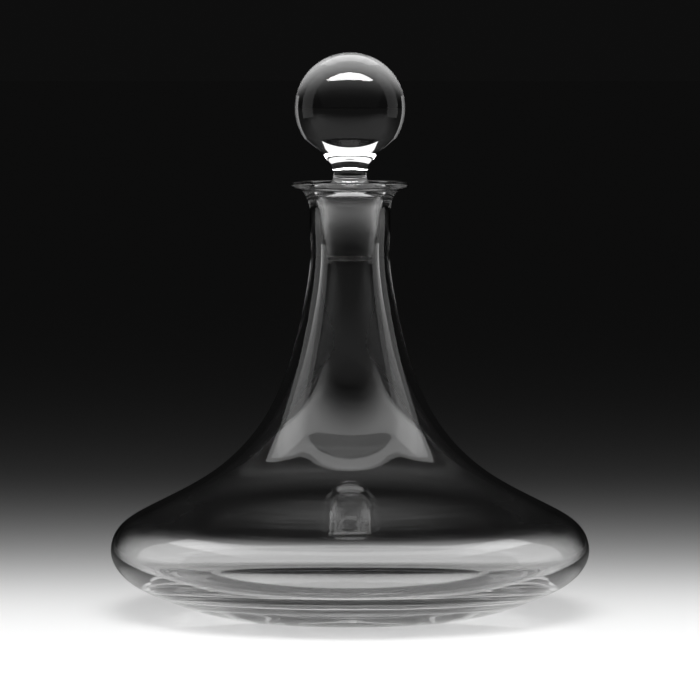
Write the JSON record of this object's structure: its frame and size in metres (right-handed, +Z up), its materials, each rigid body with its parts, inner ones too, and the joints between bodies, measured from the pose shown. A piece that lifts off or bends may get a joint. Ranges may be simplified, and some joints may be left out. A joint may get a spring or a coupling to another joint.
{
  "type": "wine decanter",
  "caption": "Wide-based clear glass decanter with a low bulb, a slender neck, a flat lip and a solid ball stopper on a tapered plug.",
  "frame": {"origin": "centre of the circle the foot stands on, at the height of the table", "axes": "+Z up along the axis both pieces are turned about, +X and +Y any two square directions on the table"},
  "size_m": [0.215, 0.215, 0.2508],
  "materials": {
    "body_glass": "clear, fire-polished",
    "stopper_glass": "clear, fire-polished"
  },
  "bodies": {
    "decanter": {"decanter_body": "body_glass"},
    "stopper": {"stopper": "stopper_glass"}
  },
  "joints": [
    {"name": "stopper_lift", "type": "slide", "parent": "decanter", "child": "stopper", "axis": [0, 0, 1], "range_m": [0, 0.08]}
  ]
}
